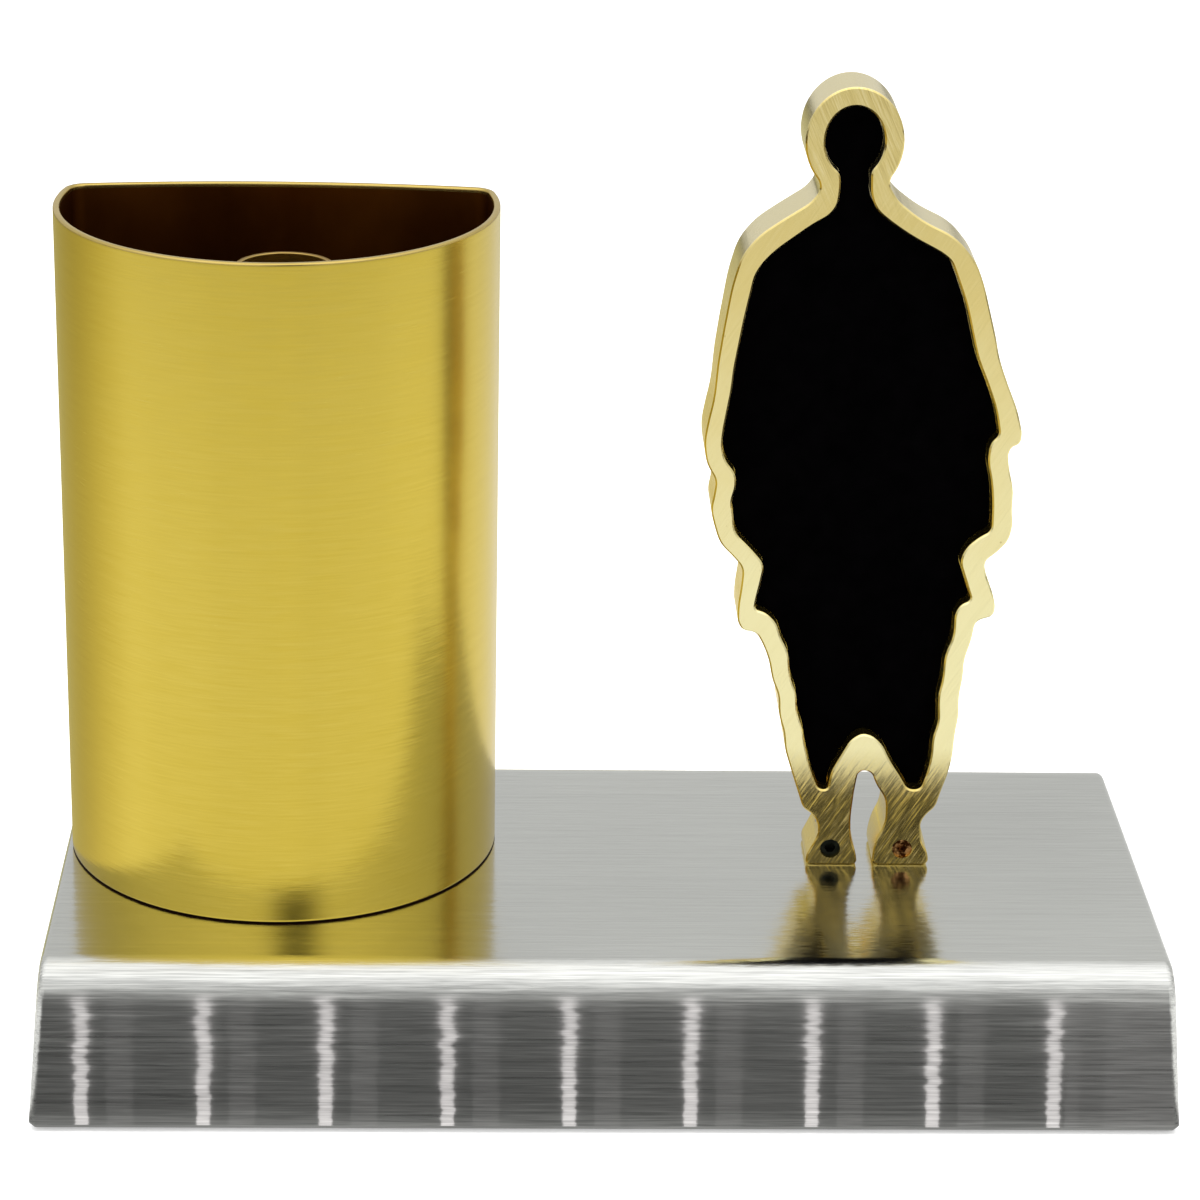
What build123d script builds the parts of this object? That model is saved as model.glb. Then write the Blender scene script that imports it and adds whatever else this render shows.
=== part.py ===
"""Votive stand: a flared stainless steel plinth that carries a brass cup with a flattened back,
a round brass sleeve inside the cup, and a cut-out brass figure with a recessed black inlay.

X runs to the right, Y to the back, Z up. The origin is on the table, under the plinth's centre.
All sizes are in millimetres.
"""
from build123d import *
from math import atan, atan2, degrees, hypot, sqrt, tan
import os

os.makedirs("parts", exist_ok=True)

# Plinth: folded sheet with an end plate welded into each end
BASE_LENGTH = 164.0         # top face, along X
BASE_DEPTH = 76.4           # top face, along Y, between the sharp corners of its bends
BASE_HEIGHT = 25.0          # top face to lower edge
BASE_FLARE = 2.0            # how far each side leans out at its lower edge
SHEET = 2.0
BEND_RADIUS = 5.0           # outside of the front and back bends
END_ROUND = 1.2             # ground edge round each end
LOWER_CHAMFER = 0.8

# Underside
FOOT_PROUD = 0.5            # gap under the plinth's lower edge
FOOT_THICKNESS = 2.0
FOOT_DIAMETER = 10.0
FOOT_INSET = 11.0           # from the edges of the top face to the foot's centre
PLATE_THICKNESS = 2.0
PLATE_GAP = 0.3             # round the closing plate
POST_DIAMETER = 8.0
POST_INSET_X = 26.0
POST_INSET_Y = 10.0
POST_THREAD_DEPTH = 8.0

# Cup: a round tube with its back pressed nearly flat
CUP_DIAMETER = 65.0
CUP_DEPTH = 42.0            # front to the back's corners
CUP_CROWN = 2.4             # how far the back bows out between its corners
CUP_HEIGHT = 100.6
CUP_WALL = 1.0
CUP_CORNER = 3.5
CUP_FLOOR = 4.0
CUP_MARGIN = 0.6            # from the left edge of the top face
CUP_FORWARD = 2.1           # its middle, in front of the plinth's centre line
CUP_SCREW_SPACING = 36.0
RIM_ROUND = 0.3
BLIND_MARGIN = 1.0          # metal left over a blind threaded hole

# Sleeve that stands inside the cup
SLEEVE_DIAMETER = 14.4
SLEEVE_WALL = 0.8
SLEEVE_LENGTH = 90.4
SLEEVE_OFFSET = 1.5         # to the right of the cup's middle
SLEEVE_CLEARANCE = 0.15     # radial, over its boss
BOSS_HEIGHT = 6.0
BOSS_CHAMFER = 0.6

# Figure: thick plate, pocketed from the front
FIGURE_HEIGHT = 121.2
FIGURE_THICKNESS = 9.4
FIGURE_FRONT = -1.4         # its front face, from the plinth's centre line
FIGURE_MARGIN = 41.7        # from the right edge of the top face to between its feet
LEFT_FOOT = -5.6            # middle of each foot, from between the feet
RIGHT_FOOT = 5.4
POCKET_DEPTH = 4.2
INLAY_THICKNESS = 1.5
INLAY_GAP = 0.12
FIGURE_CHAMFER = 0.25

# Fasteners
M3 = 3.0
M4 = 4.0
HEAD_TO_THREAD = 1.75       # pan head's diameter over the thread's
WASHER_TO_THREAD = 2.25
WASHER_THICKNESS = 0.8
THREAD_FIT = 0.02           # radial, screw in its own thread
HOLE_CLEARANCE = 0.15       # radial, screw through a plain hole
PAN_HEIGHT = 2.6
PAN_ROUND = 0.85
NUT_HEIGHT = 3.2
NUT_ACROSS_FLATS = 7.0
STUD_END = 1.5              # stud showing below its nut
STUD_GRIP = 8.0             # stud inside the foot
SET_SCREW_RECESS = 0.45
SET_SCREW_HEIGHT = 2.7      # above the sole
SOCKET_ACROSS_FLATS = 1.5
SOCKET_DEPTH = 1.2
DRIVE_ACROSS_FLATS = 2.5
DRIVE_DEPTH = 1.4

# Worked out from the sizes above
EDGE_Z = FOOT_PROUD
TOP_Z = EDGE_Z + BASE_HEIGHT
UNDER_TOP_Z = TOP_Z - SHEET
SLOPE = BASE_FLARE / BASE_HEIGHT
SLANTED_SHEET = SHEET * sqrt(1 + SLOPE ** 2)        # the sheet's thickness, measured level
CUP_X = -BASE_LENGTH / 2 + CUP_MARGIN + CUP_DIAMETER / 2
CUP_Y = -CUP_FORWARD
CUP_SCREW_X = [CUP_X - CUP_SCREW_SPACING / 2, CUP_X + CUP_SCREW_SPACING / 2]
SLEEVE_X = CUP_X + SLEEVE_OFFSET
SLEEVE_BORE = SLEEVE_DIAMETER / 2 - SLEEVE_WALL
FLOOR_TOP_Z = TOP_Z + CUP_FLOOR
FIGURE_X = BASE_LENGTH / 2 - FIGURE_MARGIN
FIGURE_MID_Y = FIGURE_FRONT + FIGURE_THICKNESS / 2
DRAWN_HEIGHT = 121.2                                # of the figure in its own drawing
GRID = FIGURE_HEIGHT / DRAWN_HEIGHT


def half_length(z):
    """Half the plinth's outside length at height z."""
    return BASE_LENGTH / 2 + SLOPE * (TOP_Z - z)


def half_depth(z):
    """Half the plinth's outside depth at height z."""
    return BASE_DEPTH / 2 + SLOPE * (TOP_Z - z)


def disc(radius, x, y, low, high):
    """An upright cylinder between two heights."""
    return Pos(x, y, low) * extrude(Circle(radius), high - low)


def hex_prism(across_flats, x, y, low, high):
    """An upright hexagonal prism between two heights."""
    return Pos(x, y, low) * extrude(RegularPolygon(across_flats / 2, 6, major_radius=False), high - low)


def save(shape, name):
    """Write one node's solids."""
    export_step(shape, f"parts/{name}.step")


# Plinth ---------------------------------------------------------------------------------------

def plinth_block():
    """The plinth as one solid: flared sides, long bends, ground ends and a chamfered lower edge."""
    foot_print = Rectangle(2 * half_length(EDGE_Z), 2 * half_depth(EDGE_Z))
    block = Pos(0, 0, EDGE_Z) * extrude(foot_print, BASE_HEIGHT, taper=degrees(atan(SLOPE)))
    top_long = block.edges().filter_by(Axis.X).group_by(Axis.Z)[-1]
    block = fillet(top_long, BEND_RADIUS)
    ends = block.edges().filter_by(Axis.Y).group_by(Axis.Z)[-1]
    block = fillet(ends, END_ROUND)
    lower = block.edges().group_by(Axis.Z)[0]
    return chamfer(lower, LOWER_CHAMFER)


def inside_profile():
    """The room under the folded sheet, as a bar that runs out through both ends."""
    inner_top = half_depth(UNDER_TOP_Z) - SLANTED_SHEET
    inner_low = half_depth(0) - SLANTED_SHEET
    outline = Polygon(
        (-inner_low, 0), (inner_low, 0), (inner_top, UNDER_TOP_Z), (-inner_top, UNDER_TOP_Z), align=None)
    upper = outline.vertices().group_by(Axis.Y)[-1]
    outline = fillet(upper, BEND_RADIUS - SHEET)
    return extrude(Plane.YZ * outline, half_length(0) + SHEET, both=True)


def between_ends():
    """The room between the two end plates, as a slab that runs out through front and back."""
    inner_top = half_length(TOP_Z) - SLANTED_SHEET
    inner_low = half_length(0) - SLANTED_SHEET
    outline = Polygon((-inner_low, 0), (inner_low, 0), (inner_top, TOP_Z), (-inner_top, TOP_Z), align=None)
    return extrude(Plane.XZ * outline, half_depth(0) + SHEET, both=True)


def corners(inset_x, inset_y):
    """Four places, each so far in from the edges of the top face."""
    x = BASE_LENGTH / 2 - inset_x
    y = BASE_DEPTH / 2 - inset_y
    return {"front_left": (-x, -y), "front_right": (x, -y), "rear_left": (-x, y), "rear_right": (x, y)}


FEET = corners(FOOT_INSET, FOOT_INSET)
POSTS = corners(POST_INSET_X, POST_INSET_Y)
STUD_X = [FIGURE_X + LEFT_FOOT * GRID, FIGURE_X + RIGHT_FOOT * GRID]

block = plinth_block()
inside = inside_profile()
base_shell = block - inside
for x, y in [(x, CUP_Y) for x in CUP_SCREW_X + [SLEEVE_X]] + [(x, FIGURE_MID_Y) for x in STUD_X]:
    base_shell -= disc(M4 / 2 + HOLE_CLEARANCE, x, y, UNDER_TOP_Z - SHEET, TOP_Z + SHEET)
save(base_shell, "base_shell")

end_plates = (block & inside) - between_ends()
for side, plate in zip(["left", "right"], end_plates.solids().sort_by(Axis.X)):
    save(plate, f"end_plate_{side}")

# Closing plate, its posts and screws, and the rubber feet --------------------------------------

PLATE_LOW = FOOT_THICKNESS
PLATE_HIGH = PLATE_LOW + PLATE_THICKNESS
COUNTERSINK = M3 / 2 * (HEAD_TO_THREAD - 1)         # depth of a 90 degree countersunk head


def countersunk(grow):
    """A countersunk M3 screw standing head down, grown all round by a clearance."""
    shank = Pos(0, 0, COUNTERSINK) * extrude(Circle(M3 / 2 + grow), POST_THREAD_DEPTH - grow)
    head = extrude(Circle(M3 / 2 * HEAD_TO_THREAD + grow), COUNTERSINK, taper=45)
    return head + shank


bottom_plate = Pos(0, 0, PLATE_LOW) * extrude(
    Rectangle(2 * (half_length(PLATE_HIGH) - SLANTED_SHEET - PLATE_GAP),
              2 * (half_depth(PLATE_HIGH) - SLANTED_SHEET - PLATE_GAP)), PLATE_THICKNESS)
posts = []
plate_screws = []
for x, y in POSTS.values():
    place = Pos(x, y, PLATE_LOW)
    post = disc(POST_DIAMETER / 2, x, y, PLATE_HIGH, UNDER_TOP_Z)
    posts.append(post - disc(M3 / 2 + THREAD_FIT, x, y, PLATE_HIGH, PLATE_LOW + POST_THREAD_DEPTH + M3 / 2))
    bottom_plate -= place * countersunk(HOLE_CLEARANCE)
    screw = place * countersunk(0)
    plate_screws.append(screw - hex_prism(DRIVE_ACROSS_FLATS, x, y, PLATE_LOW, PLATE_LOW + DRIVE_DEPTH))
save(bottom_plate, "bottom_plate")
save(Compound(posts), "plate_posts")
save(Compound(plate_screws), "plate_screws")

for corner, (x, y) in FEET.items():
    foot = disc(FOOT_DIAMETER / 2, x, y, 0, FOOT_THICKNESS)
    save(fillet(foot.edges().group_by(Axis.Z)[0], FOOT_PROUD), f"foot_{corner}")

# Cup ------------------------------------------------------------------------------------------


def cup_slug(inset, height):
    """A slug of the cup's section drawn in by an inset: round front, nearly flat back, round corners."""
    front_radius = CUP_DIAMETER / 2
    front_centre = front_radius - CUP_DEPTH / 2
    half_chord = sqrt(front_radius ** 2 - (CUP_DEPTH - front_radius) ** 2)
    back_radius = (half_chord ** 2 + CUP_CROWN ** 2) / (2 * CUP_CROWN)
    back_centre = CUP_DEPTH / 2 + CUP_CROWN - back_radius
    front = Pos(0, front_centre) * Circle(front_radius - inset)
    back = Pos(0, back_centre) * Circle(back_radius - inset)
    slug = extrude(front & back, height)
    corner_edges = [e for e in slug.edges().filter_by(Axis.Z) if e.center().Y > front_centre + CUP_CORNER]
    return Pos(CUP_X, CUP_Y, TOP_Z) * fillet(corner_edges, CUP_CORNER - inset)


cup_wall = cup_slug(0, CUP_HEIGHT) - cup_slug(CUP_WALL, CUP_HEIGHT)
cup_wall = fillet(cup_wall.edges().group_by(Axis.Z)[-1], RIM_ROUND)
save(cup_wall, "cup_wall")

cup_floor = cup_slug(CUP_WALL + THREAD_FIT, CUP_FLOOR)
FLOOR_THREAD = CUP_FLOOR - BLIND_MARGIN
for x in CUP_SCREW_X:
    cup_floor -= disc(M4 / 2 + THREAD_FIT, x, CUP_Y, TOP_Z, TOP_Z + FLOOR_THREAD)
cup_floor -= disc(M4 / 2 + HOLE_CLEARANCE, SLEEVE_X, CUP_Y, TOP_Z, FLOOR_TOP_Z)
save(cup_floor, "cup_floor")

boss = disc(SLEEVE_BORE - SLEEVE_CLEARANCE, SLEEVE_X, CUP_Y, FLOOR_TOP_Z, FLOOR_TOP_Z + BOSS_HEIGHT)
boss = chamfer(boss.edges().group_by(Axis.Z)[-1], BOSS_CHAMFER)
BOSS_THREAD = BOSS_HEIGHT - BLIND_MARGIN
boss -= disc(M4 / 2 + THREAD_FIT, SLEEVE_X, CUP_Y, FLOOR_TOP_Z, FLOOR_TOP_Z + BOSS_THREAD)
save(boss, "sleeve_boss")

sleeve = disc(SLEEVE_DIAMETER / 2, SLEEVE_X, CUP_Y, FLOOR_TOP_Z, FLOOR_TOP_Z + SLEEVE_LENGTH)
sleeve -= disc(SLEEVE_BORE, SLEEVE_X, CUP_Y, FLOOR_TOP_Z, FLOOR_TOP_Z + SLEEVE_LENGTH)
sleeve = fillet(sleeve.edges().group_by(Axis.Z)[-1], RIM_ROUND)
save(sleeve, "inner_sleeve")

# Screws and washers under the cup ---------------------------------------------------------------

WASHER_LOW = UNDER_TOP_Z - WASHER_THICKNESS


def washer(x, y):
    """A flat washer against the underside of the top."""
    ring = disc(M4 / 2 * WASHER_TO_THREAD, x, y, WASHER_LOW, UNDER_TOP_Z)
    return ring - disc(M4 / 2 + HOLE_CLEARANCE, x, y, WASHER_LOW, UNDER_TOP_Z)


def pan_screw(x, y, tip_z):
    """An M4 socket pan head screw that points up, its head against a washer."""
    low = WASHER_LOW - PAN_HEIGHT
    head = disc(M4 / 2 * HEAD_TO_THREAD, x, y, low, WASHER_LOW)
    head = fillet(head.edges().group_by(Axis.Z)[0], PAN_ROUND)
    head -= hex_prism(DRIVE_ACROSS_FLATS, x, y, low, low + DRIVE_DEPTH)
    return head + disc(M4 / 2, x, y, WASHER_LOW, tip_z)


save(Compound([washer(x, CUP_Y) for x in CUP_SCREW_X]), "cup_washers")
save(Compound([pan_screw(x, CUP_Y, TOP_Z + FLOOR_THREAD - THREAD_FIT) for x in CUP_SCREW_X]), "cup_screws")
save(washer(SLEEVE_X, CUP_Y), "boss_washer")
save(pan_screw(SLEEVE_X, CUP_Y, FLOOR_TOP_Z + BOSS_THREAD - THREAD_FIT), "boss_screw")

# Figure ---------------------------------------------------------------------------------------

# Outer edge of the robe and legs, up the left side from the left sole and down the right side
ROBE_OUTER = [
    (-9.2, 0), (-9.3, 1.3), (-8.3, 3.4), (-7.5, 5.1), (-7.6, 6.9), (-8.5, 8.4), (-10.0, 9.4), (-10.8, 11.9),
    (-12.0, 15.6), (-13.1, 19.1), (-13.3, 21.9), (-14.2, 24.6), (-14.3, 27.9), (-15.4, 30.4), (-15.9, 33.4),
    (-16.9, 36.0), (-18.0, 38.0), (-20.1, 38.3), (-20.9, 39.7), (-20.9, 42.3), (-20.5, 45.3), (-20.3, 48.2),
    (-21.8, 50.0), (-23.9, 52.1), (-24.9, 55.3), (-25.4, 57.5), (-24.9, 60.0), (-24.7, 62.0), (-26.2, 64.5),
    (-26.7, 68.0), (-26.1, 71.4), (-25.4, 74.7), (-25.0, 80.0), (-24.4, 84.5), (-23.3, 91.6), (-22.0, 96.2),
    (-19.6, 99.3), (-16.3, 101.6), (-12.3, 104.2), (-11.0, 106.0), (-10.2, 109.0), (-2.2, 109.0),
    (-0.9, 106.4), (0.3, 104.5), (4.0, 101.6), (8.9, 99.3), (12.1, 95.4), (13.4, 91.9), (15.4, 84.4),
    (16.1, 81.0), (17.6, 77.0), (19.2, 73.2), (20.1, 69.6), (19.9, 68.0), (18.6, 67.4), (18.2, 66.3),
    (18.4, 64.3), (19.3, 60.8), (19.2, 57.5), (19.5, 55.4), (19.0, 52.8), (17.4, 51.0), (15.5, 49.5),
    (15.9, 47.4), (17.1, 44.5), (17.6, 42.3), (17.3, 40.8), (15.3, 40.2), (14.6, 39.4), (14.3, 37.1),
    (13.3, 33.6), (13.3, 30.8), (12.8, 27.8), (13.0, 24.8), (12.5, 21.4), (12.4, 18.4), (11.9, 15.4),
    (10.8, 12.0), (10.2, 9.7), (8.8, 8.4), (8.0, 7.0), (8.3, 3.8), (9.4, 2.0), (9.5, 0), (0.9, 0),
    (0.9, 1.8), (1.4, 4.4), (2.7, 7.1), (2.6, 11.0), (1.0, 13.3), (0.2, 15.5), (-1.8, 15.6), (-2.3, 12.3),
    (-2.7, 7.7), (-2.5, 4.4), (-1.6, 1.8), (-1.4, 0)]

# Edge of the pocket, from the left leg's lower end up the left side and down the right side
ROBE_INNER = [
    (-7.8, 12.5), (-9.1, 15.6), (-10.1, 19.8), (-10.5, 22.4), (-11.5, 25.0), (-11.6, 28.0), (-12.7, 30.6),
    (-13.1, 34.8), (-14.4, 37.2), (-15.0, 39.4), (-16.7, 41.1), (-18.4, 41.6), (-18.2, 43.1), (-17.6, 46.0),
    (-17.1, 48.7), (-19.3, 51.3), (-21.8, 53.8), (-22.0, 56.5), (-22.4, 58.6), (-21.7, 61.1), (-21.9, 63.0),
    (-23.5, 65.0), (-24.0, 67.2), (-23.8, 69.8), (-22.8, 75.8), (-22.5, 79.1), (-21.3, 86.4), (-19.9, 93.4),
    (-18.6, 95.4), (-16.7, 97.3), (-11.9, 100.9), (-9.5, 102.3), (-8.4, 103.8), (-8.1, 106.1), (-8.2, 109.5),
    (-3.8, 109.5), (-3.7, 105.4), (-2.8, 103.2), (-0.8, 101.5), (2.4, 99.3), (6.9, 96.9), (8.4, 95.7),
    (9.5, 92.9), (10.9, 89.2), (12.9, 81.1), (14.4, 77.6), (16.0, 73.5), (16.8, 69.3), (15.5, 68.0),
    (15.2, 65.3), (16.0, 61.8), (16.3, 58.6), (16.4, 54.3), (14.6, 53.3), (12.8, 51.7), (11.9, 49.5),
    (12.9, 46.6), (14.0, 43.3), (12.4, 42.6), (11.6, 41.1), (11.6, 37.4), (10.4, 34.5), (10.3, 30.6),
    (9.7, 27.8), (10.0, 23.7), (9.2, 21.0), (9.2, 18.4), (8.7, 15.3), (7.8, 12.5), (5.8, 12.5), (4.6, 14.6),
    (2.9, 17.2), (1.7, 19.8), (0.1, 21.3), (-1.5, 21.7), (-3.2, 20.6), (-4.4, 18.3), (-6.0, 15.3),
    (-6.3, 12.4)]

HEAD_CENTRE = (-6.3, 113.2)
HEAD_INNER = (4.3, 5.2)     # half width and half height of the oval pocket for the head
RIM_WIDTH = 2.8             # brass left round the head
FOLD_RADIUS = 30.0          # largest rounding of a bend in the robe
CORNER_SHARE = 0.45         # of the shorter side at a corner, taken up by its rounding
NECK_RADIUS = 2.0
ON_OVAL = 0.01              # how near, as a share, an edge lies to the head's oval where the two meet


def soft_outline(points, largest):
    """A closed outline whose corners are rounded, each by no more than its two sides have room for."""
    radii = []
    for i, (x, z) in enumerate(points):
        before = points[i - 1]
        after = points[(i + 1) % len(points)]
        way_in = (x - before[0], z - before[1])
        way_out = (after[0] - x, after[1] - z)
        cross = way_in[0] * way_out[1] - way_in[1] * way_out[0]
        dot = way_in[0] * way_out[0] + way_in[1] * way_out[1]
        turn = abs(atan2(cross, dot))
        room = CORNER_SHARE * min(hypot(*way_in), hypot(*way_out))
        radii.append(min(largest, room / tan(turn / 2)))
    return make_face(FilletPolyline(*points, radius=radii, close=True))


def silhouette(points, head_half_width, head_half_height, front_y, thickness, inset=0):
    """A robed outline with a plain oval head, stood on the top face from its front face back."""
    half_width = head_half_width - inset
    half_height = head_half_height - inset
    robe = offset(soft_outline(points, FOLD_RADIUS), -inset) if inset else soft_outline(points, FOLD_RADIUS)
    head = Pos(*HEAD_CENTRE) * Ellipse(half_width, half_height)
    solid = extrude(Plane.XZ * scale(robe + head, GRID), -thickness)
    neck = []
    for edge in solid.edges().filter_by(Axis.Y):
        x = edge.center().X / GRID - HEAD_CENTRE[0]
        z = edge.center().Z / GRID - HEAD_CENTRE[1]
        if abs(hypot(x / half_width, z / half_height) - 1) < ON_OVAL and z < 0:
            neck.append(edge)
    return Pos(FIGURE_X, front_y, TOP_Z) * fillet(neck, NECK_RADIUS * GRID)


pocket_floor_y = FIGURE_FRONT + POCKET_DEPTH
head_outer = (HEAD_INNER[0] + RIM_WIDTH, HEAD_INNER[1] + RIM_WIDTH)
figure = silhouette(ROBE_OUTER, *head_outer, FIGURE_FRONT, FIGURE_THICKNESS)
figure -= silhouette(ROBE_INNER, *HEAD_INNER, FIGURE_FRONT, POCKET_DEPTH)
figure = chamfer(figure.edges().group_by(Axis.Y)[0], FIGURE_CHAMFER)
for x in STUD_X:
    figure -= disc(M4 / 2 + THREAD_FIT, x, FIGURE_MID_Y, TOP_Z, TOP_Z + STUD_GRIP)
    bore = Plane.XZ * Circle(M3 / 2 + THREAD_FIT)
    figure -= Pos(x, FIGURE_FRONT, TOP_Z + SET_SCREW_HEIGHT) * extrude(bore, -FIGURE_THICKNESS / 2)
save(figure, "figure_frame")

inlay_front_y = pocket_floor_y - INLAY_THICKNESS
inlay = silhouette(ROBE_INNER, *HEAD_INNER, inlay_front_y, INLAY_THICKNESS, INLAY_GAP)
save(inlay, "figure_inlay")

# Studs that hold the figure, their washers and nuts, and the set screws that lock them -----------

NUT_LOW = WASHER_LOW - NUT_HEIGHT
studs = []
nuts = []
set_screws = []
for x in STUD_X:
    studs.append(disc(M4 / 2, x, FIGURE_MID_Y, NUT_LOW - STUD_END, TOP_Z + STUD_GRIP - THREAD_FIT))
    nut = hex_prism(NUT_ACROSS_FLATS, x, FIGURE_MID_Y, NUT_LOW, WASHER_LOW)
    nuts.append(nut - disc(M4 / 2 + THREAD_FIT, x, FIGURE_MID_Y, NUT_LOW, WASHER_LOW))
    screw_length = FIGURE_THICKNESS / 2 - M4 / 2 - SET_SCREW_RECESS - THREAD_FIT
    body = extrude(Plane.XZ * Circle(M3 / 2), -screw_length)
    socket = extrude(Plane.XZ * RegularPolygon(SOCKET_ACROSS_FLATS / 2, 6, major_radius=False), -SOCKET_DEPTH)
    set_screws.append(Pos(x, FIGURE_FRONT + SET_SCREW_RECESS, TOP_Z + SET_SCREW_HEIGHT) * (body - socket))
save(Compound(studs), "figure_studs")
save(Compound([washer(x, FIGURE_MID_Y) for x in STUD_X]), "stud_washers")
save(Compound(nuts), "stud_nuts")
save(Compound(set_screws), "foot_set_screws")
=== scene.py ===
"""Looks for a table stand: a flared stainless plinth, a brass cup with a flattened back, a round
brass sleeve inside it, and a figure cut from thick brass plate with a black inlay.

Everything is in metres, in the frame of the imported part: X right, Y back, Z up.
"""

from math import atan2, cos, pi, radians, sin, sqrt

import bpy
import numpy as np
from mathutils import Matrix, Vector


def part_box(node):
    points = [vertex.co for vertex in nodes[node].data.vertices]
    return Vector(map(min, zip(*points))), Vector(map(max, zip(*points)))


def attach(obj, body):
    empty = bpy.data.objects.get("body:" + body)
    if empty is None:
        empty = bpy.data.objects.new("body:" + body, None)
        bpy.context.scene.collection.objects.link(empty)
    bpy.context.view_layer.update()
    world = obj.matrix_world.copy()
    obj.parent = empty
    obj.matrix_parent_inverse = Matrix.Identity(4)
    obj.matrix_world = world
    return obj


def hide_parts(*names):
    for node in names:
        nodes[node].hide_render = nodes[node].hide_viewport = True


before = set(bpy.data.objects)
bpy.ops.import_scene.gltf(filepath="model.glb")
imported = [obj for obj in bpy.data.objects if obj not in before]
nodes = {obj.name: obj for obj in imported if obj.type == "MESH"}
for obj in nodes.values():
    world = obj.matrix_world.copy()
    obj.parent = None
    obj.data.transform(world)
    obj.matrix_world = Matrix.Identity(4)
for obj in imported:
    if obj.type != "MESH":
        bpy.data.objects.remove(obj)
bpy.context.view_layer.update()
MM = 0.001

# Plinth shell ---------------------------------------------------------------------------------
# One stainless sheet folded down at the front and back, with an end plate welded into each end and
# ground flush. The belt leaves a long grain, which spreads reflections up and down and keeps them
# sharp sideways.


TOP_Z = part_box("base_shell")[1].z


class Field:
    """A shader socket that does arithmetic, so that a mask can be written as a formula."""

    def __init__(self, shading, socket):
        self.shading = shading
        self.socket = socket

    def math(self, operation, first, second, clamp=False):
        return self.shading.node("Math", {"operation": operation, "use_clamp": clamp}, {0: first, 1: second})

    def __add__(self, other):
        return self.math("ADD", self, other)

    def __radd__(self, other):
        return self.math("ADD", other, self)

    def __sub__(self, other):
        return self.math("SUBTRACT", self, other)

    def __rsub__(self, other):
        return self.math("SUBTRACT", other, self)

    def __mul__(self, other):
        return self.math("MULTIPLY", self, other)

    def __rmul__(self, other):
        return self.math("MULTIPLY", other, self)

    def __truediv__(self, other):
        return self.math("DIVIDE", self, other)

    def __pow__(self, other):
        return self.math("POWER", self, other)

    def __abs__(self):
        return self.math("ABSOLUTE", self, 0)

    def rise(self, low, high):
        """0 below low, 1 above high and a straight ramp between them. It falls where low is above high."""
        return self.math("DIVIDE", self - low, high - low, clamp=True)


class Shading:
    """A node tree, and the few ways in which nodes are added to it."""

    def __init__(self, tree):
        self.tree = tree

    def node(self, kind, settings=None, inputs=None, output=0):
        """Adds one node: settings first, then the values or links of its sockets."""
        made = self.tree.nodes.new("ShaderNode" + kind)
        for key, value in (settings or {}).items():
            setattr(made, key, value)
        for key, value in (inputs or {}).items():
            if isinstance(value, Field):
                self.tree.links.new(value.socket, made.inputs[key])
            else:
                made.inputs[key].default_value = value
        return Field(self, made.outputs[output])

    def axis(self, vector, letter):
        """One coordinate of a vector."""
        return self.node("SeparateXYZ", inputs={0: vector}, output="XYZ".index(letter))

    def noise(self, counts, turn=(0, 0, 0), detail=2.0, rough=0.5):
        """Soft noise from 0 to 1, turned, with so many cells to the metre along X, Y and Z."""
        where = self.node("TexCoord", output="Object")
        cells = {"Vector": where, "Rotation": turn, "Scale": tuple(1 / count for count in counts)}
        place = self.node("Mapping", {"vector_type": "TEXTURE"}, cells)
        looks = {"Vector": place, "Scale": 1.0, "Detail": detail, "Roughness": rough}
        return self.node("TexNoise", inputs=looks)

    def blend(self, amount, first, second):
        """A colour between two colours."""
        return self.node("Mix", {"data_type": "RGBA"}, {0: amount, 6: first, 7: second}, output=2)

    def vector(self, operation, first, second=None, scale=None):
        inputs = {0: first}
        if second is not None:
            inputs[1] = second
        if scale is not None:
            inputs["Scale"] = scale
        return self.node("VectorMath", {"operation": operation}, inputs)

    def leaning(self, *leans):
        """The surface normal, leaned along each direction by its amount."""
        normal = self.node("NewGeometry", output="Normal")
        for direction, amount in leans:
            normal = self.vector("ADD", normal, self.vector("SCALE", direction, scale=amount))
        return self.vector("NORMALIZE", normal)


class Finish(Shading):
    """A procedural material: one Principled shader and the nodes that feed it."""

    def __init__(self, name, **constants):
        self.material = bpy.data.materials.new(name)
        self.material.use_nodes = True
        super().__init__(self.material.node_tree)
        self.shader = self.tree.nodes["Principled BSDF"]
        for socket, value in constants.items():
            self.shader.inputs[socket.replace("_", " ")].default_value = value

    def place(self, letter):
        """One Object coordinate, in metres."""
        return self.axis(self.node("TexCoord", output="Object"), letter)

    def feed(self, socket, field):
        self.tree.links.new(field.socket, self.shader.inputs[socket])

    def wear(self, *pieces):
        for piece in pieces:
            piece.data.materials.clear()
            piece.data.materials.append(self.material)


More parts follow.
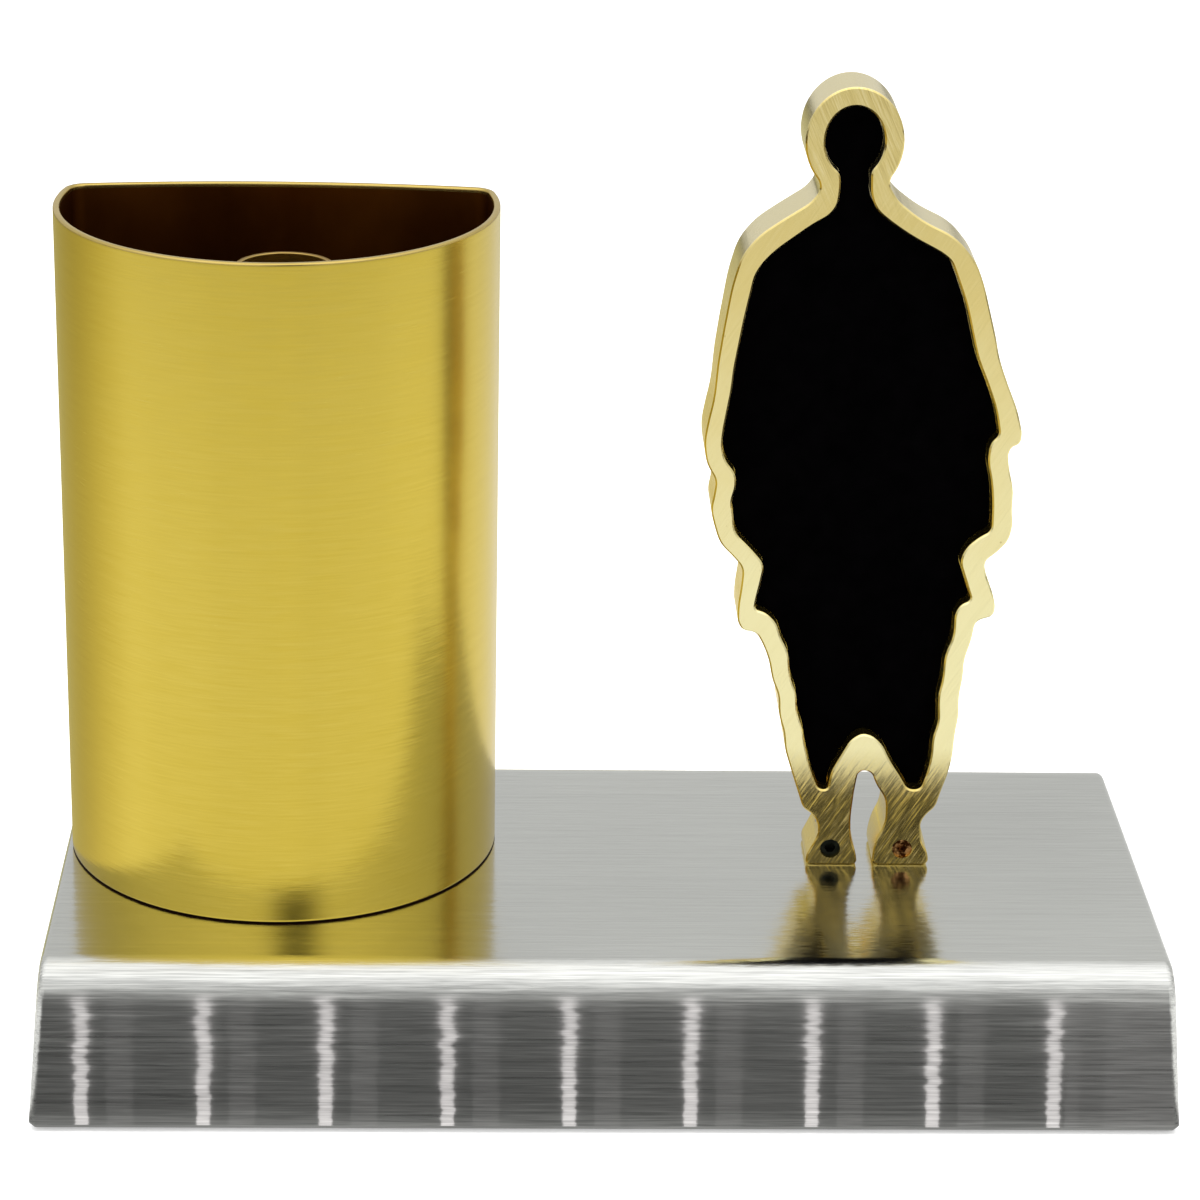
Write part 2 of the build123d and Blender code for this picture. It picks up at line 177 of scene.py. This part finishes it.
def ground_steel(name, along):
    """Belt-ground stainless steel whose grain runs along X or Y. The belt bites harder on the sides than
    on the top face, and hardest on the bends."""
    steel = Finish(name, Metallic=1.0)
    below_top = steel.place("Z").rise(TOP_Z - 0.1 * MM, TOP_Z - 1.0 * MM)
    on_bend = below_top * steel.place("Z").rise(TOP_Z - 6.0 * MM, TOP_Z - 4.0 * MM)
    grain = (1.0, 0.0, 0.0) if along == "X" else (0.0, 1.0, 0.0)
    line = steel.noise([30.0 if part else 2600.0 for part in grain], detail=2.0, rough=0.65)
    fine = steel.noise([120.0 if part else 6000.0 for part in grain], detail=2.0, rough=0.6)
    hair = steel.noise([400.0 if part else 16000.0 for part in grain], detail=1.0)
    bow = steel.noise([60.0 if part else 900.0 for part in grain], detail=2.0, rough=0.6)
    cloud = steel.noise((10.0, 16.0, 16.0), detail=2.0)
    bite = below_top * 1.0 + 0.25
    tone = ((line - 0.5) * 0.8 + (fine - 0.5) * 0.7) * bite + (cloud - 0.5) * 0.3 + 0.5
    steel.feed("Base Color", steel.blend(tone, (0.26, 0.263, 0.255, 1), (0.96, 0.965, 0.93, 1)))
    steel.feed("Roughness", (line - 0.5) * 0.10 + 0.14 + below_top * 0.15 + on_bend * 0.14)
    across = steel.vector("CROSS_PRODUCT", grain, steel.node("NewGeometry", output="Normal"))
    tip = (hair - 0.5) * 0.25 + (line - 0.5) * 0.04
    swing = (bow - 0.5) * (below_top * 0.35 + 0.05)
    steel.feed("Normal", steel.leaning((across, tip), (grain, swing)))
    return steel


ground_steel("shell_stainless", "X").wear(nodes["base_shell"])
ground_steel("end_stainless", "Y").wear(nodes["end_plate_left"], nodes["end_plate_right"])

# Cup ------------------------------------------------------------------------------------------
# A brass tube pressed nearly flat at the back. Its outside is satin finished round the tube and
# lacquered, and its rim is dressed bright. Its inside, its floor and the sleeve's boss are painted dark
# brown as painted shade, and a near black band at its foot is a painted contact shadow.

cup_low, cup_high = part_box("cup_wall")
CUP_WALL = 1.0 * MM
CUP_CORNER = 3.5 * MM
CUP_CROWN = 2.4 * MM
CUP_RIM = 0.35 * MM
CUP_SEAM = 0.3 * MM


def arc(centre, radius, start, end, count):
    """Points at centre + radius (cos a, sin a), with the angle a going evenly from start towards end."""
    angle = np.linspace(start, end, count, endpoint=False)
    return np.stack([centre[0] + radius * np.cos(angle), centre[1] + radius * np.sin(angle)], axis=1)


def cup_section(inset):
    """The cup's outline drawn in by an inset: four arcs that meet smoothly, which are a corner, the
    bowed back, the other corner and the round front. Each corner's centre lies a corner's radius
    inside both the front circle and the back circle."""
    middle = (cup_low.x + cup_high.x) / 2
    front = (cup_high.x - cup_low.x) / 2
    front_y = cup_low.y + front
    depth = cup_high.y - cup_low.y - CUP_CROWN
    half_chord = sqrt(front ** 2 - (depth - front) ** 2)
    back = (half_chord ** 2 + CUP_CROWN ** 2) / (2 * CUP_CROWN)
    back_y = cup_high.y - back
    reach_front, reach_back = front - CUP_CORNER, back - CUP_CORNER
    corner_y = (reach_back ** 2 - reach_front ** 2 + front_y ** 2 - back_y ** 2) / (2 * (front_y - back_y))
    corner_x = sqrt(reach_front ** 2 - (corner_y - front_y) ** 2)
    to_front = atan2(corner_y - front_y, corner_x)
    to_back = atan2(corner_y - back_y, corner_x)
    corner = CUP_CORNER - inset
    return np.concatenate([
        arc((middle + corner_x, corner_y), corner, to_front, to_back, 28),
        arc((middle, back_y), back - inset, to_back, pi - to_back, 90),
        arc((middle - corner_x, corner_y), corner, pi - to_back, pi - to_front, 28),
        arc((middle, front_y), front - inset, pi - to_front, 2 * pi + to_front, 280)])


def rounding(inset, z, radius, start, end, count=7):
    """Profile points (inset, z) on a quarter circle about a point of the wall."""
    angle = np.linspace(start, end, count)
    return [(inset + radius * cos(a), z + radius * sin(a)) for a in angle]


def walled_ring(name, section, profile, finishes):
    """A closed ring: the section at each profile point's inset, raised to its height. The profile is a
    list of (inset, z, finish number) that goes up the outside, over the rim, down the inside and back
    along the bottom, and the number is that of the band that starts there."""
    points = np.concatenate([
        np.column_stack([section(inset), np.full(len(section(0.0)), z)]) for inset, z, _ in profile])
    rows, columns = len(profile), len(section(0.0))
    row, column = np.meshgrid(np.arange(rows), np.arange(columns), indexing="ij")
    next_row, next_column = (row + 1) % rows, (column + 1) % columns
    quads = np.stack([row * columns + column, row * columns + next_column,
                      next_row * columns + next_column, next_row * columns + column], axis=-1).reshape(-1, 4)
    mesh = bpy.data.meshes.new(name)
    mesh.from_pydata(points, [], quads)
    for finish in finishes:
        mesh.materials.append(finish.material)
    band = np.repeat([number for _, _, number in profile], columns).astype(np.int32)
    mesh.polygons.foreach_set("material_index", band)
    mesh.polygons.foreach_set("use_smooth", np.ones(len(quads), dtype=bool))
    piece = bpy.data.objects.new(name, mesh)
    bpy.context.scene.collection.objects.link(piece)
    return piece


def tube_profile(low, high, wall, rim, seam):
    """(inset, z, finish number) round a tube's wall: 0 the seam at its foot, 1 outside, 2 rim, 3 inside."""
    profile = [(seam, low, 0), (0.0, low + seam, 1)]
    profile += [(0.0, z, 1) for z in np.linspace(low + 2 * seam, high - 2 * rim, 12)]
    outer = rounding(rim, high - rim, rim, pi, pi / 2)
    inner = rounding(wall - rim, high - rim, rim, pi / 2, 0)
    profile += [(inset, z, 2) for inset, z in outer + inner]
    profile += [(wall, z, 3) for z in np.linspace(high - 2 * rim, low + seam, 8)]
    return profile + [(wall, low, 0)]


def satin_brass(name, pale, deep, roughness, slope):
    """Satin brass brushed round the piece: a very fine level grain, faint clouds and finger dulling."""
    brass = Finish(name, Metallic=1.0)
    grain = brass.noise((200.0, 200.0, 12000.0), detail=2.0, rough=0.6)
    line = brass.noise((120.0, 120.0, 4000.0), detail=3.0, rough=0.6)
    cloud = brass.noise((26.0, 26.0, 12.0), detail=3.0)
    tone = (cloud - 0.5) * 0.9 + (grain - 0.5) * 1.1 + (line - 0.5) * 0.9 + 0.5
    brass.feed("Base Color", brass.blend(tone, deep, pale))
    brass.feed("Roughness", (cloud - 0.5) * 0.06 + (grain - 0.5) * 0.08 + roughness)
    brass.feed("Normal", brass.leaning(((0.0, 0.0, 1.0), ((grain - 0.5) + (line - 0.5) * 0.15) * slope)))
    return brass


cup_brass = satin_brass("cup_satin_brass", (0.690, 0.535, 0.100, 1), (0.590, 0.440, 0.050, 1), 0.25, 0.16)
rim_brass = satin_brass("dressed_rim_brass", (0.66, 0.50, 0.17, 1), (0.50, 0.36, 0.09, 1), 0.26, 0.05)

# Painted shade: the inside of the cup, the cup's floor and the sleeve's boss are coloured dark red-brown to
# stand for the shade deep inside the cup.
cup_inside_painted_shade = Finish("inside_painted_shade_brass", Metallic=1.0)
inside_shade_mottle = cup_inside_painted_shade.noise((60.0, 60.0, 35.0), detail=4.0, rough=0.6)
cup_inside_painted_shade.feed("Base Color", cup_inside_painted_shade.blend(inside_shade_mottle, (0.110, 0.030, 0.002, 1), (0.240, 0.080, 0.008, 1)))
cup_inside_painted_shade.feed("Roughness", (inside_shade_mottle - 0.5) * 0.2 + 0.36)

# Painted shadow: the band at the foot of the cup and its underside are coloured near black to stand for the
# contact shadow where the cup stands on the plate.
seam_shadow = Finish("seam_painted_shadow", Metallic=1.0)
seam_shadow_mottle = seam_shadow.noise((800.0, 800.0, 800.0), detail=3.0)
seam_shadow.feed("Base Color", seam_shadow.blend(seam_shadow_mottle, (0.020, 0.008, 0.004, 1), (0.060, 0.022, 0.008, 1)))
seam_shadow.feed("Roughness", (seam_shadow_mottle - 0.5) * 0.2 + 0.6)

cup = walled_ring("cup", cup_section, tube_profile(cup_low.z, cup_high.z, CUP_WALL, CUP_RIM, CUP_SEAM),
                  (seam_shadow, cup_brass, rim_brass, cup_inside_painted_shade))
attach(cup, "stand")
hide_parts("cup_wall")
cup_inside_painted_shade.wear(nodes["cup_floor"], nodes["sleeve_boss"])

# Sleeve -----------------------------------------------------------------------------------------
# A plain round brass tube that stands loose over a boss in the cup, its ends broken with a file.

sleeve_low, sleeve_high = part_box("inner_sleeve")
SLEEVE_WALL = 0.8 * MM
SLEEVE_RIM = 0.15 * MM


def sleeve_section(inset):
    """A circle about the sleeve's axis, drawn in by an inset."""
    centre = ((sleeve_low.x + sleeve_high.x) / 2, (sleeve_low.y + sleeve_high.y) / 2)
    return arc(centre, (sleeve_high.x - sleeve_low.x) / 2 - inset, 0, 2 * pi, 128)


sleeve_rim = satin_brass("sleeve_rim_brass", (0.56, 0.40, 0.12, 1), (0.42, 0.27, 0.07, 1), 0.28, 0.05)
sleeve_brass = satin_brass("sleeve_brass", (0.62, 0.44, 0.12, 1), (0.52, 0.35, 0.08, 1), 0.26, 0.10)
sleeve = walled_ring("sleeve", sleeve_section,
                     tube_profile(sleeve_low.z, sleeve_high.z, SLEEVE_WALL, SLEEVE_RIM, SLEEVE_RIM),
                     (sleeve_rim, sleeve_brass, sleeve_rim, sleeve_brass))
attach(sleeve, "sleeve")
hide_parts("inner_sleeve")

# Figure -----------------------------------------------------------------------------------------
# Thick brass plate cut to the outline of a robed figure and pocketed for its inlay. The front is
# brushed by hand on the slant, hardest on the feet and head, and the cut edges are polished paler.

figure_low, figure_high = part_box("figure_frame")
figure_height = figure_high.z - figure_low.z
EDGE_FADE = 0.15 * MM

plate_brass = Finish("plate_brass", Metallic=1.0)
height = (plate_brass.place("Z") - figure_low.z) * (1 / figure_height)
behind = plate_brass.place("Y") - figure_low.y
rising = plate_brass.noise((4800.0, 400.0, 150.0), turn=(0, radians(32), 0), detail=3.0, rough=0.7)
falling = plate_brass.noise((4800.0, 400.0, 170.0), turn=(0, radians(-24), 0), detail=3.0, rough=0.7)
head_part = height.rise(0.82, 0.90)
stroke = rising + (falling - rising) * head_part
mottle = plate_brass.noise((140.0, 140.0, 140.0), detail=4.0, rough=0.6)
speck = plate_brass.noise((1400.0, 1400.0, 1400.0), detail=1.0).rise(0.74, 0.80)
foot_part = height.rise(0.16, 0.09)
hand = foot_part * 0.9 + head_part * 0.28 + 0.12
robe_tone = height.rise(0.78, 0.35) + (mottle - 0.5) * 0.5
robe_colour = plate_brass.blend(robe_tone, (0.75, 0.61, 0.24, 1), (0.84, 0.77, 0.43, 1))
bright = plate_brass.blend((stroke.rise(0.50, 0.75) * hand) * 0.8, robe_colour, (0.98, 0.93, 0.66, 1))
scored = plate_brass.blend((stroke.rise(0.50, 0.28) * hand) * 0.8, bright, (0.40, 0.31, 0.09, 1))
deep = plate_brass.blend(foot_part * 0.80, scored, (0.56, 0.39, 0.07, 1))
pitted = plate_brass.blend(speck * 0.35, deep, (0.30, 0.22, 0.06, 1))
edge_tone = (mottle - 0.5) * 0.3 + 0.5
edge_colour = plate_brass.blend(edge_tone, (0.88, 0.64, 0.10, 1), (0.94, 0.74, 0.20, 1))
edge_colour = plate_brass.blend(height.rise(0.66, 0.80), edge_colour, (0.88, 0.77, 0.44, 1))
thickness = figure_high.y - figure_low.y
off_back = behind.rise(thickness - EDGE_FADE / 4, thickness - EDGE_FADE)
cut_edge = behind.rise(EDGE_FADE, 2 * EDGE_FADE) * off_back
plate_brass.feed("Base Color", plate_brass.blend(cut_edge, pitted, edge_colour))
plate_brass.feed("Roughness", (stroke - 0.5) * 0.20 + (mottle - 0.5) * 0.05 + 0.16 + cut_edge * 0.08)
score = (stroke - 0.5) * (1 - cut_edge) * hand * 0.7
plate_brass.feed("Normal", plate_brass.leaning(((1.0, 0.0, -0.5), score)))
plate_brass.wear(nodes["figure_frame"])

# Inlay: black sheet, cut to fit the pocket and glued in. It is smooth but swallows nearly all light.
inlay_black = Finish("inlay_black", Specular_IOR_Level=0.0)
haze = inlay_black.noise((300.0, 300.0, 300.0), detail=3.0)
soot_black = inlay_black.blend(haze, (0.0002, 0.0002, 0.0002, 1), (0.0012, 0.0010, 0.0012, 1))
inlay_black.feed("Base Color", soot_black)
inlay_black.feed("Roughness", (haze - 0.5) * 0.1 + 0.5)
inlay_black.wear(nodes["figure_inlay"])

# Fasteners and feet -----------------------------------------------------------------------------
# Zinc plated screws, studs, nuts and washers under the top, a mill finish plate that closes the
# underside, four glued rubber feet, and one blackened and one copper plated set screw.

zinc = Finish("zinc_plate", Metallic=1.0)
spangle = zinc.noise((900.0, 900.0, 900.0), detail=3.0)
zinc.feed("Base Color", zinc.blend(spangle, (0.50, 0.52, 0.54, 1), (0.62, 0.63, 0.63, 1)))
zinc.feed("Roughness", (spangle - 0.5) * 0.2 + 0.38)
PLATED = ("plate_posts", "plate_screws", "cup_washers", "cup_screws", "boss_washer", "boss_screw",
          "figure_studs", "stud_washers", "stud_nuts")
zinc.wear(*[nodes[name] for name in PLATED])

set_screw = Finish("set_screw_plating", Metallic=1.0)
bloom = set_screw.noise((1500.0, 1500.0, 1500.0), detail=2.0)
between_feet = (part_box("foot_set_screws")[0].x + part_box("foot_set_screws")[1].x) / 2
copper_side = set_screw.place("X").rise(between_feet, between_feet + MM)
blackened = set_screw.blend(bloom, (0.005, 0.005, 0.004, 1), (0.03, 0.035, 0.025, 1))
coppered = set_screw.blend(bloom.rise(0.42, 0.62), (0.05, 0.015, 0.004, 1), (0.60, 0.32, 0.12, 1))
set_screw.feed("Base Color", set_screw.blend(copper_side, blackened, coppered))
set_screw.feed("Roughness", (bloom - 0.5) * 0.2 + 0.40)
set_screw.wear(nodes["foot_set_screws"])

mill = Finish("mill_steel", Metallic=1.0)
rolled = mill.noise((1200.0, 40.0, 1200.0), detail=3.0)
mill.feed("Base Color", mill.blend(rolled, (0.40, 0.40, 0.41, 1), (0.50, 0.50, 0.50, 1)))
mill.feed("Roughness", (rolled - 0.5) * 0.2 + 0.42)
mill.wear(nodes["bottom_plate"])

rubber = Finish("foot_rubber")
chalk = rubber.noise((2500.0, 2500.0, 2500.0), detail=2.0)
rubber.feed("Base Color", rubber.blend(chalk, (0.012, 0.012, 0.012, 1), (0.030, 0.030, 0.030, 1)))
rubber.feed("Roughness", (chalk - 0.5) * 0.2 + 0.75)
rubber.wear(*[nodes[name] for name in nodes if name.startswith("foot_") and name != "foot_set_screws"])

# Stage, light and camera --------------------------------------------------------------------------
# A pale floor in a white tent with a narrow dark opening at the front, a soft panel overhead and a
# row of small lamps close along the plinth's front, which light only the folded sheet.

scene = bpy.context.scene
scene.view_settings.view_transform = "Standard"
world = bpy.data.worlds.new("tent")
scene.world = world
world.use_nodes = True
tent = Shading(world.node_tree)
way = tent.node("TexCoord", output="Generated")
forward_part = tent.axis(way, "Y") * -1
upward_part = tent.axis(way, "Z")
sideways = tent.axis(way, "X") / forward_part
opening = forward_part.rise(0.1, 0.2) * sideways.rise(-0.14, 0.06) * sideways.rise(0.46, 0.24)
opening = opening * upward_part.rise(0.64, 0.54)
overhead = (upward_part * 0.9 + forward_part * 0.35).rise(0.30, 0.95)
fold = tent.node("TexNoise", inputs={"Vector": tent.vector("MULTIPLY", way, (1, 1, 0.1)), "Scale": 5.0})
cloth = tent.blend(overhead + (fold - 0.5) * 0.15, (0.73, 0.735, 0.72, 1), (1.65, 1.65, 1.65, 1))
seen = tent.blend(opening, cloth, (0.06, 0.06, 0.06, 1))
is_camera = tent.node("LightPath", output="Is Camera Ray")
backdrop = tent.tree.nodes["Background"]
tent.tree.links.new(tent.blend(is_camera, seen, (1, 1, 1, 1)).socket, backdrop.inputs["Color"])
backdrop.inputs["Strength"].default_value = 1.0

shell_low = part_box("base_shell")[0]
HALF_FLOOR = 3.0
floor_mesh = bpy.data.meshes.new("floor")
floor_mesh.from_pydata([(-HALF_FLOOR, -HALF_FLOOR, 0), (HALF_FLOOR, -HALF_FLOOR, 0),
                        (HALF_FLOOR, HALF_FLOOR, 0), (-HALF_FLOOR, HALF_FLOOR, 0)], [], [(0, 1, 2, 3)])
floor = bpy.data.objects.new("floor", floor_mesh)
scene.collection.objects.link(floor)

# The floor is lit for show, not by the lights: glossy surfaces mirror it with brightness and tint set
# by bearing from the cup, and dark close to the plinth, while the camera sees it at one even level.
PLINTH_SHADE = 0.018
PLINTH_SHADE_FULL = 0.010
CONTACT_CLEAR = 0.002
paper = Finish("floor_paper", Roughness=0.9, Specular_IOR_Level=0.0, Emission_Strength=1.0)
is_glossy = paper.node("LightPath", output="Is Glossy Ray")
reach = paper.node("LightPath", output="Ray Length")
to_eye = paper.node("LightPath", output="Is Camera Ray")
cup_axis = ((cup_low.x + cup_high.x) / 2, (cup_low.y + cup_high.y) / 2, 0)
from_cup = paper.vector("SUBTRACT", paper.node("TexCoord", output="Object"), cup_axis)
bearing = paper.vector("NORMALIZE", from_cup)
leftward, backward = paper.axis(bearing, "X") * -1, paper.axis(bearing, "Y")
behind_left = (leftward * 0.60 + backward * 0.80).rise(0.45, 0.95)
crease = paper.node("TexNoise", inputs={"Vector": bearing, "Scale": 4.0, "Detail": 2.0})
lit = abs(leftward) ** 8 * 0.10 - behind_left * 0.45 + (crease - 0.5) * 0.16 + 1.05
lit = lit * (1 - reach.rise(0.25, 2.00))
from_plinth = (reach + paper.place("Y") - shell_low.y).rise(PLINTH_SHADE, PLINTH_SHADE_FULL)
lit = lit - (lit - 0.10 - reach.rise(PLINTH_SHADE_FULL, CONTACT_CLEAR) * 0.25) * from_plinth
mirrored = paper.node("CombineXYZ", inputs={
    0: lit, 1: lit * (1 - behind_left * 0.07), 2: lit * (0.985 - behind_left * 0.55)})
paper.feed("Base Color", paper.blend(is_glossy, (0.90, 0.90, 0.90, 1), (0, 0, 0, 1)))
to_metal = paper.blend(is_glossy, (0, 0, 0, 1), mirrored)
paper.feed("Emission Color", paper.blend(to_eye, to_metal, (0.30, 0.30, 0.30, 1)))
paper.wear(floor)


def panel(name, centre, target, size, power, colour=(1, 1, 1)):
    """A rectangular light that faces a point and is hidden from the camera."""
    light = bpy.data.lights.new(name, "AREA")
    light.shape = "RECTANGLE"
    light.size, light.size_y = size
    light.energy = power
    light.color = colour
    made = bpy.data.objects.new(name, light)
    scene.collection.objects.link(made)
    made.location = centre
    made.rotation_euler = (Vector(target) - Vector(centre)).to_track_quat("-Z", "Y").to_euler()
    made.visible_camera = False
    return made


overhead_panel = panel("overhead", (0, -0.10, 0.75), (0, 0.0, 0.05), (0.9, 0.6), 5.0)
overhead_panel.visible_glossy = False

# Each lamp shows in the plinth's front as a crisp upright streak with a faint ghost beside it. The end
# lamps overlap towards the right corner, each narrower than the last, and brighten it by degrees.
LAMPS = 9
LAMP_STEP = 17.7 * MM
LAMP_MIDDLE = -5.5 * MM
LAMP_WIDTH = 1.9 * MM
GHOST_SHIFT = 5.6 * MM
LAMP_HEIGHT = 21.0 * MM
LAMP_GAP = 1.5 * MM
LAMP_FOOT = 0.3 * MM
LAMP_RADIANCE, GHOST_RADIANCE, END_RADIANCE = 0.85, 0.05, 0.08
END_LAMPS = 5
END_LAMP_FIRST = 67.0 * MM
END_LAMP_STEP = 2.5 * MM
END_LAMP_RIGHT = 84.0 * MM
shell_only = bpy.data.collections.new("seen_in_shell_only")
shell_only.objects.link(nodes["base_shell"])


def lamp(name, x, width, radiance):
    """An upright strip just in front of the plinth, seen only in the folded sheet."""
    centre = Vector((x, shell_low.y - LAMP_GAP, LAMP_HEIGHT / 2 + LAMP_FOOT))
    power = radiance * pi * width * LAMP_HEIGHT
    made = panel(name, centre, centre + Vector((0, 1, 0.08)), (width, LAMP_HEIGHT), power, (1.0, 0.95, 0.97))
    made.light_linking.receiver_collection = shell_only


for i in range(LAMPS):
    lamp_x = LAMP_MIDDLE + (i - LAMPS // 2) * LAMP_STEP
    lamp(f"lamp_{i}", lamp_x, LAMP_WIDTH, LAMP_RADIANCE)
    lamp(f"lamp_ghost_{i}", lamp_x + GHOST_SHIFT, 2 * LAMP_WIDTH, GHOST_RADIANCE)
for i in range(END_LAMPS):
    left_edge = END_LAMP_FIRST + END_LAMP_STEP * i
    lamp(f"lamp_end_{i}", (left_edge + END_LAMP_RIGHT) / 2, END_LAMP_RIGHT - left_edge, END_RADIANCE)

SENSOR_WIDTH, FOCAL_LENGTH = 36, 118.92
EYE = Vector((-20.07, -551.54, 278.70)) * MM
YAW, PITCH, ROLL = radians(-1.969), radians(20.898), radians(1.116)
forward = Vector((-sin(YAW) * cos(PITCH), cos(YAW) * cos(PITCH), -sin(PITCH)))
level = Vector((cos(YAW), sin(YAW), 0))
above = level.cross(forward)
right = cos(ROLL) * level + sin(ROLL) * above
up = -sin(ROLL) * level + cos(ROLL) * above
lens = bpy.data.cameras.new("camera")
lens.sensor_width = SENSOR_WIDTH
lens.lens = FOCAL_LENGTH
camera = bpy.data.objects.new("camera", lens)
scene.collection.objects.link(camera)
camera.matrix_world = Matrix.Translation(EYE) @ Matrix((right, up, -forward)).transposed().to_4x4()
scene.camera = camera
